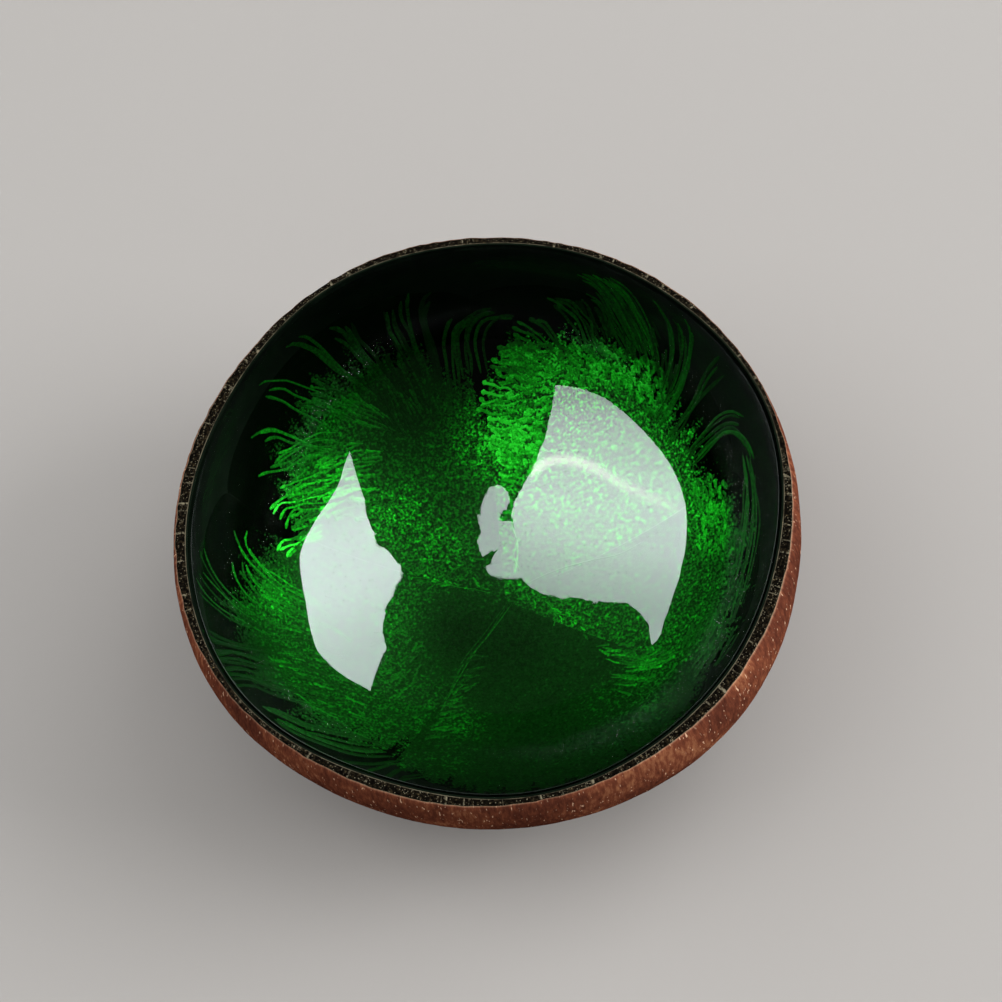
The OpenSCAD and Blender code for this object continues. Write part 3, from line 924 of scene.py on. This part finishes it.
# %% Body and gleam of the pearl pigment
GLEAM_SHARE = 0.03
body = put(pearl, "BsdfPrincipled", {"Base Color": green, "Roughness": 0.5, "Specular IOR Level": 0.0,
                                     "Normal": bump})
sheen = put(pearl, "Mix", {0: 0.04, 6: green, 7: linear("#d8ffd0")}, data_type="RGBA")
gleam = put(pearl, "BsdfGlossy", {"Color": (sheen, 2), "Roughness": 0.4, "Normal": bump})
flakes = put(pearl, "TexNoise", {"Vector": (where, "Object"), "Scale": 1 / (0.35 * MM), "Detail": 1.0})
flash = put(pearl, "MapRange", {"Value": flakes, "From Min": 0.48, "From Max": 0.64,
                                "To Min": 0.3 * GLEAM_SHARE, "To Max": 3 * GLEAM_SHARE})
flash_there = put(pearl, "Math", {0: flash, 1: there}, operation="MULTIPLY")
flaked = put(pearl, "MixShader", {0: flash_there, 1: body, 2: gleam})
put(pearl, "OutputMaterial", {"Surface": flaked})
for petal in petals:
    finished(petal, pearl)
print("pearl pigment on", len(petals), "petals")

# %% [markdown]
# ### Black ground lacquer
# Black lacquer is nearly without colour, a trace greener than pure black, as the clear coat carries
# a little light over from the pigment. It too lies under the clear coat, so it has no gloss of its
# own, and the shine comes from the coat above. Folds of more than 60 degrees are marked sharp, so
# that smooth shading doesn't run round the rims of the coats and of the shell.

# %% Finish of the black lacquer
CREASE_ANGLE = math.radians(60)


def creased(piece):
    picked(piece)
    bpy.ops.object.mode_set(mode="EDIT")
    bpy.ops.mesh.select_mode(type="EDGE")
    bpy.ops.mesh.select_all(action="DESELECT")
    bpy.ops.mesh.edges_select_sharp(sharpness=CREASE_ANGLE)
    bpy.ops.mesh.mark_sharp()
    bpy.ops.mesh.select_mode(type="VERT")
    bpy.ops.object.mode_set(mode="OBJECT")


black = new_material("black_ground_lacquer")
where = put(black, "TexCoord")
dust = put(black, "TexNoise", {"Vector": (where, "Object"), "Scale": 1 / (6 * MM), "Detail": 3.0})
tone = put(black, "ValToRGB", {"Fac": dust})
coloured(tone, [(0.3, "#070d08"), (0.7, "#0d150e")])
body = put(black, "BsdfPrincipled", {"Base Color": tone, "Roughness": 0.35, "Specular IOR Level": 0.0})
put(black, "OutputMaterial", {"Surface": body})
finished(ground, black)
creased(ground)
print("black lacquer on the ground coat")

# %% [markdown]
# ### Clear lacquer
# A cast clear lacquer has an index of about 1.5. It bends light, but over so thin a coat nothing is
# seen to shift. So the coat is see-through, plus a mirror whose strength follows Fresnel's law.
# Made this way it lets the lamps reach the pigment without noise, which true refraction would
# not. Low in the bowl a faint orange peel of 2 mm and some thousandths of a millimetre frays the
# edges of mirror images. The photo also shows a pale veil on the wall, which is the soft boxes seen
# by way of two bounces. A sharp image of an image is found by so few rays that it comes out as
# bright dots, so the face that a ray meets second is taken as rougher and weaker, and it and the
# wall have no orange peel. The sanded lip is cut rough and gives no gloss.

# %% Finish of the clear lacquer
gloss = new_material("cast_clear_lacquer")
fresnel = put(gloss, "Fresnel", {"IOR": 1.5})
open_way = put(gloss, "BsdfTransparent", {"Color": linear("#fbfffb")})
where = put(gloss, "TexCoord")
orange_peel = put(gloss, "TexNoise", {"Vector": (where, "Object"), "Scale": 1 / (2.2 * MM), "Detail": 1.0})
peeled = put(gloss, "Attribute", attribute_name="peeled")
path = put(gloss, "LightPath")
level = put(gloss, "MapRange", {"Value": (path, "Is Glossy Ray"), "To Min": (peeled, "Fac"), "To Max": 0.0})
peel = put(gloss, "Bump", {"Height": orange_peel, "Distance": 0.010 * MM, "Strength": level})
cut = put(gloss, "Attribute", attribute_name="lip")
again = put(gloss, "MapRange", {"Value": (path, "Is Glossy Ray"), "To Min": 0.03, "To Max": 0.3})
rough = put(gloss, "MapRange", {"Value": (cut, "Fac"), "To Min": again, "To Max": 0.55})
mirror = put(gloss, "BsdfGlossy", {"Roughness": rough, "Normal": peel})
dull = put(gloss, "MapRange", {"Value": (cut, "Fac"), "To Min": 1.0, "To Max": 0.0})
kept = put(gloss, "MapRange", {"Value": (path, "Is Glossy Ray"), "To Min": 1.0, "To Max": 0.45})
shine = put(gloss, "Math", {0: fresnel, 1: dull}, operation="MULTIPLY")
shine = put(gloss, "Math", {0: shine, 1: kept}, operation="MULTIPLY")
both = put(gloss, "MixShader", {0: shine, 1: open_way, 2: mirror})
put(gloss, "OutputMaterial", {"Surface": both})
finished(clear, gloss)
creased(clear)
print("clear lacquer on the top coat")

# %% [markdown]
# ### Coconut shell
# A coconut's shell is hard brown wood. Its fibres run from pole to pole, and where sanding cuts them
# they show as short pale flecks, about half a millimetre wide and some millimetres long. The
# pattern is wrapped round the bowl: the direction from the axis gives the place across, and the
# height is squeezed, so that every fleck is drawn out along the meridian. Where the edge of the rim
# shows wear the wood is painted paler, for the wear and as a painted highlight along the rounded
# edge. Bare sanded wood is dull, so it has no gloss.

# %% Finish of the skin
def round_the_bowl(material, where):
    level = put(material, "VectorMath", {0: (where, "Object"), 1: (1, 1, 0)}, operation="MULTIPLY")
    outward = put(material, "VectorMath", {0: level}, operation="NORMALIZE")
    return put(material, "VectorMath", {0: outward, "Scale": RIM_R}, operation="SCALE")


shell_skin = new_material("sanded_coconut_shell")
where = put(shell_skin, "TexCoord")
around = round_the_bowl(shell_skin, where)
height = put(shell_skin, "VectorMath", {0: (where, "Object"), 1: (0, 0, 0.25)}, operation="MULTIPLY")
wrapped = put(shell_skin, "VectorMath", {0: around, 1: height}, operation="ADD")
fibres = put(shell_skin, "TexNoise", {"Vector": wrapped, "Scale": 1 / (0.8 * MM), "Detail": 4.0,
                                      "Roughness": 0.65})
stain = put(shell_skin, "TexNoise", {"Vector": (where, "Object"), "Scale": 1 / (14 * MM), "Detail": 3.0})
flecks = put(shell_skin, "TexNoise", {"Vector": wrapped, "Scale": 1 / (0.5 * MM), "Detail": 1.0})
both = put(shell_skin, "Math", {0: fibres, 1: stain}, operation="ADD")
half = put(shell_skin, "Math", {0: both, 1: 0.5}, operation="MULTIPLY")
wood = put(shell_skin, "ValToRGB", {"Fac": half})
coloured(wood, [(0.34, "#3c1f17"), (0.46, "#532c20"), (0.56, "#6b3b29"), (0.68, "#915f42")])
fleck_mask = put(shell_skin, "MapRange", {"Value": flecks, "From Min": 0.68, "From Max": 0.75})
worn = put(shell_skin, "Attribute", attribute_name="worn")
# paler edge of the rim: wear plus a painted highlight along the arris
worn_half = put(shell_skin, "Math", {0: (worn, "Fac"), 1: 0.7}, operation="MULTIPLY")
worn_part = put(shell_skin, "Math", {0: worn_half, 1: fibres}, operation="MULTIPLY")
pale_part = put(shell_skin, "Math", {0: fleck_mask, 1: worn_part}, operation="MAXIMUM")
skin_tone = put(shell_skin, "Mix", {0: pale_part, 6: wood, 7: linear("#c9a183")}, data_type="RGBA")
bump = put(shell_skin, "Bump", {"Height": fibres, "Strength": 0.5, "Distance": 0.12 * MM})
body = put(shell_skin, "BsdfPrincipled", {"Base Color": (skin_tone, 2), "Roughness": 0.5,
                                          "Specular IOR Level": 0.0, "Normal": bump})
put(shell_skin, "OutputMaterial", {"Surface": body})
print("shell skin ready")

# %% [markdown]
# ### Sawn rim
# On the rim the saw cut across the wall, so the fibres show their ends: a dark, close grain with
# pale specks a third of a millimetre across, and here and there a pale ray that runs from the
# hollow to the skin. Both edges of the face carry a thin pale line: the inner one is a painted glint
# where the lacquer's lip meets the rim, the outer one is partly wear and partly a painted highlight
# along the arris. The rim's faces are picked by their place in the section.

# %% Finish of the sawn rim
sawn = new_material("sawn_shell_rim")
where = put(sawn, "TexCoord")
ends = put(sawn, "TexNoise", {"Vector": (where, "Object"), "Scale": 1 / (0.6 * MM), "Detail": 3.0,
                              "Roughness": 0.7})
end_grain = put(sawn, "ValToRGB", {"Fac": ends})
coloured(end_grain, [(0.3, "#030202"), (0.52, "#0b0906"), (0.66, "#262016"), (0.8, "#7c6f50")])
around = round_the_bowl(sawn, where)
rays = put(sawn, "TexNoise", {"Vector": around, "Scale": 1 / (1.1 * MM), "Detail": 2.0})
ray = put(sawn, "MapRange", {"Value": rays, "From Min": 0.60, "From Max": 0.67})
patchy = put(sawn, "TexNoise", {"Vector": (where, "Object"), "Scale": 1 / (0.7 * MM), "Detail": 2.0})
patch = put(sawn, "MapRange", {"Value": patchy, "From Min": 0.44, "From Max": 0.62})
broken_ray = put(sawn, "Math", {0: ray, 1: patch}, operation="MULTIPLY")
specks = put(sawn, "TexVoronoi", {"Vector": (where, "Object"), "Scale": 1 / (0.5 * MM)})
speck = put(sawn, "MapRange", {"Value": specks, "From Min": 0.24, "From Max": 0.12})
pale_marks = put(sawn, "Math", {0: broken_ray, 1: speck}, operation="MAXIMUM")
# pale border lines of the face: painted glint at the inner edge, wear and painted highlight at the outer
# edge
edge_glint_and_wear = put(sawn, "Attribute", attribute_name="edge")
wide_patch = put(sawn, "TexNoise", {"Vector": (where, "Object"), "Scale": 1 / (3 * MM)})
whole = put(sawn, "MapRange", {"Value": wide_patch, "From Min": 0.35, "From Max": 0.6, "To Min": 0.15,
                               "To Max": 0.75})
line = put(sawn, "MapRange", {"Value": (edge_glint_and_wear, "Fac"), "From Min": 0.4, "From Max": 0.7, "To Max": whole})
marks_or_line = put(sawn, "Math", {0: pale_marks, 1: line}, operation="MAXIMUM")
marks_part = put(sawn, "Math", {0: marks_or_line, 1: 0.5}, operation="MULTIPLY")
rim_tone = put(sawn, "Mix", {0: marks_part, 6: end_grain, 7: linear("#8f8770")}, data_type="RGBA")
bump = put(sawn, "Bump", {"Height": ends, "Strength": 0.4, "Distance": 0.1 * MM})
body = put(sawn, "BsdfPrincipled", {"Base Color": (rim_tone, 2), "Roughness": 0.7,
                                    "Specular IOR Level": 0.0, "Normal": bump})
put(sawn, "OutputMaterial", {"Surface": body})
finished(shell, shell_skin, sawn)
creased(shell)
rim_faces = [face for face in shell.data.polygons if on_rim[list(face.vertices)].all()]
for face in rim_faces:
    face.material_index = 1
print(len(rim_faces), "faces on the sawn rim")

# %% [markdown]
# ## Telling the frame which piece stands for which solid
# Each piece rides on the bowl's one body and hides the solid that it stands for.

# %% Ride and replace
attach(shell, "root")
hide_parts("shell")
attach(ground, "root")
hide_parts("ground_lacquer")
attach(clear, "root")
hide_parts("clear_lacquer")
for name, petal in zip(PETALS, petals):
    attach(petal, "root")
    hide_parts(name)
print("pieces:", [shell.name, ground.name, clear.name] + [petal.name for petal in petals])

# %% [markdown]
# ## Floor and light
# The floor is plain and pale. A bright mirror coat shows its lamps as shapes, so the light is
# split in two: wide soft lamps that only light matt surfaces, far enough away to light the floor
# evenly, and soft boxes that only show in gloss. Each box is cut to the outline of one reflection
# in the photo. A place on that outline is thrown along its line of sight onto the clear coat, and
# from there by the mirror law onto the plane of the box. Tips are drawn a little long, since the
# waves of the coat shorten them. The cloth of a box isn't evenly bright, so its brightness changes
# along a slope, and a soft band of light crosses the left one. The room behind them is dim, which
# keeps the black wall black.

# %% Floor
deselected()
bpy.ops.mesh.primitive_plane_add(size=4, location=(0, 0, -0.05 * MM))
floor = bpy.context.object
floor.name = "floor"
pale = new_material("pale_floor")
body = put(pale, "BsdfPrincipled", {"Base Color": linear("#94918e"), "Roughness": 0.9,
                                    "Specular IOR Level": 0.1})
put(pale, "OutputMaterial", {"Surface": body})
finished(floor, pale)
print("floor 4 m wide")


# %% Where a lamp stands
def axes_toward(azimuth, elevation):
    a, e = math.radians(azimuth), math.radians(elevation)
    way = Vector((math.cos(a) * math.cos(e), math.sin(a) * math.cos(e), math.sin(e)))
    across = Vector((0, 0, 1)).cross(way).normalized()
    return across, way.cross(across), way


to_right, to_left = axes_toward(15, 40), axes_toward(163, 52)
print("the soft boxes stand toward", [round(v, 2) for v in to_right[2]], [round(v, 2) for v in to_left[2]])

# %% Soft boxes cut to the outlines of the reflections
SOFT_BOX_AWAY, CLOTH_HALF = 0.8, 0.8  # metres
CLOTH_PEAK = 25  # strength of a cloth where its level is 1
SHINE_LEFT = [
    (350, 452), (344, 466), (338, 484), (328, 502), (316, 520), (305, 540), (300, 555), (301, 575),
    (306, 600), (309, 625), (316, 648), (324, 665), (333, 681), (345, 691), (364, 728), (371, 688),
    (378, 668), (386, 648), (384, 628), (388, 607), (395, 588), (401, 575), (396, 563), (386, 553),
    (377, 547), (373, 534), (367, 520), (365, 500), (360, 484), (354, 465),
]
SHINE_RIGHT = [
    (556, 384), (580, 388), (605, 398), (628, 416), (650, 438), (668, 462), (680, 485), (686, 505),
    (687, 540), (682, 565), (675, 590), (662, 628), (656, 682), (650, 640), (648, 622), (640, 610),
    (625, 603), (590, 600), (560, 598), (535, 590), (521, 580), (518, 560), (514, 535), (512, 510),
    (516, 498), (533, 468), (545, 440), (552, 410),
]
SHINE_JOINED = [
    (487, 487), (497, 484), (506, 489), (509, 499), (507, 509), (501, 512), (499, 520), (503, 523),
    (511, 522), (515, 540), (519, 560), (522, 579), (505, 577), (492, 575), (487, 568), (493, 562),
    (497, 551), (489, 553), (483, 556), (480, 548), (477, 541), (481, 534), (479, 526), (478, 514),
    (481, 500),
]


def mirrored(column, row, axes):
    across, up, way = (np.array(axis) for axis in axes)
    spot, sight = seen_at(column, row, COATS_T)
    nudges = 0.1 * MM * np.eye(3)
    normal = off_the_wall(spot + nudges, COATS_T) - off_the_wall(spot - nudges, COATS_T)
    normal /= np.linalg.norm(normal)
    bounced = sight - 2 * (sight @ normal) * normal
    spot = spot + bounced * (SOFT_BOX_AWAY - spot @ way) / (bounced @ way)
    return spot @ across, spot @ up, 0


def only_in_gloss(box, glowing, axes, distance):
    placed(box, axes, axes[2] * distance)
    finished(box, glowing)
    box.visible_camera = box.visible_diffuse = box.visible_shadow = False


def soft_box(name, axes, seen, slope, cloth):
    glowing = new_material(name + "_cloth")
    where = put(glowing, "TexCoord")
    sloped = put(glowing, "VectorMath", {0: (where, "Object"), 1: slope}, operation="DOT_PRODUCT")
    place = put(glowing, "MapRange", {"Value": (sloped, "Value"), "From Min": -CLOTH_HALF,
                                      "From Max": CLOTH_HALF})
    tone = put(glowing, "ValToRGB", {"Fac": place})
    coloured(tone, [(0.5 + across / (2 * CLOTH_HALF), level) for across, level in cloth])
    power = put(glowing, "Math", {0: tone, 1: CLOTH_PEAK}, operation="MULTIPLY")
    lit = put(glowing, "Emission", {"Color": linear("#f3fcff"), "Strength": power})
    put(glowing, "OutputMaterial", {"Surface": lit})
    deselected()
    bpy.ops.mesh.primitive_circle_add(vertices=len(seen), radius=1, fill_type="NGON")
    box = bpy.context.object
    box.name = name
    set_points(box, np.array([mirrored(column, row, axes) for column, row in seen]))
    only_in_gloss(box, glowing, axes, SOFT_BOX_AWAY)


soft_box("soft_box_right", to_right, SHINE_LEFT, (1, 0, 0),
         [(-0.6, 0.54), (-0.38, 0.70), (-0.2, 0.86), (0.0, 0.84), (0.15, 0.72), (0.3, 0.60), (0.5, 0.52)])
soft_box("soft_box_left", to_left, SHINE_RIGHT, (1, -0.2, 0),
         [(-0.34, 0.40), (-0.2, 0.52), (-0.1, 0.64), (0.05, 0.70), (0.2, 0.66), (0.27, 0.60), (0.5, 0.50),
          (0.65, 0.36)])
soft_box("soft_box_joined", to_left, SHINE_JOINED, (1, -0.2, 0), [(-0.36, 0.46), (0.1, 0.50)])
print("soft boxes with", len(SHINE_LEFT), len(SHINE_RIGHT), "and", len(SHINE_JOINED), "corners")

# %% [markdown]
# The band lies just in front of the left box and only adds light. It is a grid along a line in the
# photo, so a stored value can fade it out to both sides and toward one end.

# %% Soft band of light
BAND_RIGHT = [(532, 474), (546, 461), (563, 459), (580, 463), (597, 470), (610, 477), (630, 487),
              (650, 497), (667, 504), (682, 512)]


def soft_band(name, axes, seen, half_wide, level):
    glowing = new_material(name + "_cloth")
    glow = put(glowing, "Attribute", attribute_name="glow")
    power = put(glowing, "Math", {0: (glow, "Fac"), 1: CLOTH_PEAK * level}, operation="MULTIPLY")
    lit = put(glowing, "Emission", {"Color": linear("#fff4e8"), "Strength": power})
    through = put(glowing, "BsdfTransparent")
    both = put(glowing, "AddShader", {0: lit, 1: through})
    put(glowing, "OutputMaterial", {"Surface": both})
    deselected()
    bpy.ops.mesh.primitive_grid_add(x_subdivisions=24, y_subdivisions=6, size=1)
    band = bpy.context.object
    band.name = name
    points = points_of(band)
    run, off = points[:, 0] + 0.5, 2 * points[:, 1]
    columns, rows = (np.interp(run, np.linspace(0, 1, len(seen)), line) for line in zip(*seen))
    set_points(band, np.array([mirrored(c, r + half_wide * o, axes) for c, r, o in zip(columns, rows, off)]))
    attribute(band, "glow", np.cos(0.5 * math.pi * off) ** 2 * (1 - run) ** 0.6)
    only_in_gloss(band, glowing, axes, SOFT_BOX_AWAY - 2 * MM)


soft_band("soft_band_left", to_left, BAND_RIGHT, 9, 0.5)
print("a band of light along", len(BAND_RIGHT), "places")

# %% [markdown]
# The fills are wide discs that gloss doesn't see. A ray that comes from a mirror finds the room nearly
# dark, and every other ray finds it dim.

# %% Fills and the dim room
FILL_AWAY = 2.4  # metres
ROOM_LIGHT, ROOM_IN_GLOSS = 0.27, 0.03


def fill_lamp(name, azimuth, elevation, watts, wide=2.0):
    data = bpy.data.lights.new(name, "AREA")
    data.shape, data.size, data.energy = "DISK", wide, watts
    lamp = bpy.data.objects.new(name, data)
    bpy.context.scene.collection.objects.link(lamp)
    axes = axes_toward(azimuth, elevation)
    placed(lamp, axes, axes[2] * FILL_AWAY)
    lamp.visible_glossy = False


fill_lamp("fill_right", 15, 48, 32)
fill_lamp("fill_left", 165, 52, 28)
fill_lamp("fill_above", 0, 86, 24)
fill_lamp("fill_low_right", -8, 28, 56, 1.4)

world = bpy.data.worlds.new("dim_room")
world.use_nodes = True
world.node_tree.nodes.clear()
path = put(world, "LightPath")
strength = put(world, "MapRange", {"Value": (path, "Is Glossy Ray"), "To Min": ROOM_LIGHT,
                                   "To Max": ROOM_IN_GLOSS})
room = put(world, "Background", {"Color": linear("#ffffff"), "Strength": strength})
put(world, "OutputWorld", {"Surface": room})
bpy.context.scene.world = world
bpy.context.scene.view_settings.view_transform = "Standard"
print("four fills and a dim room")
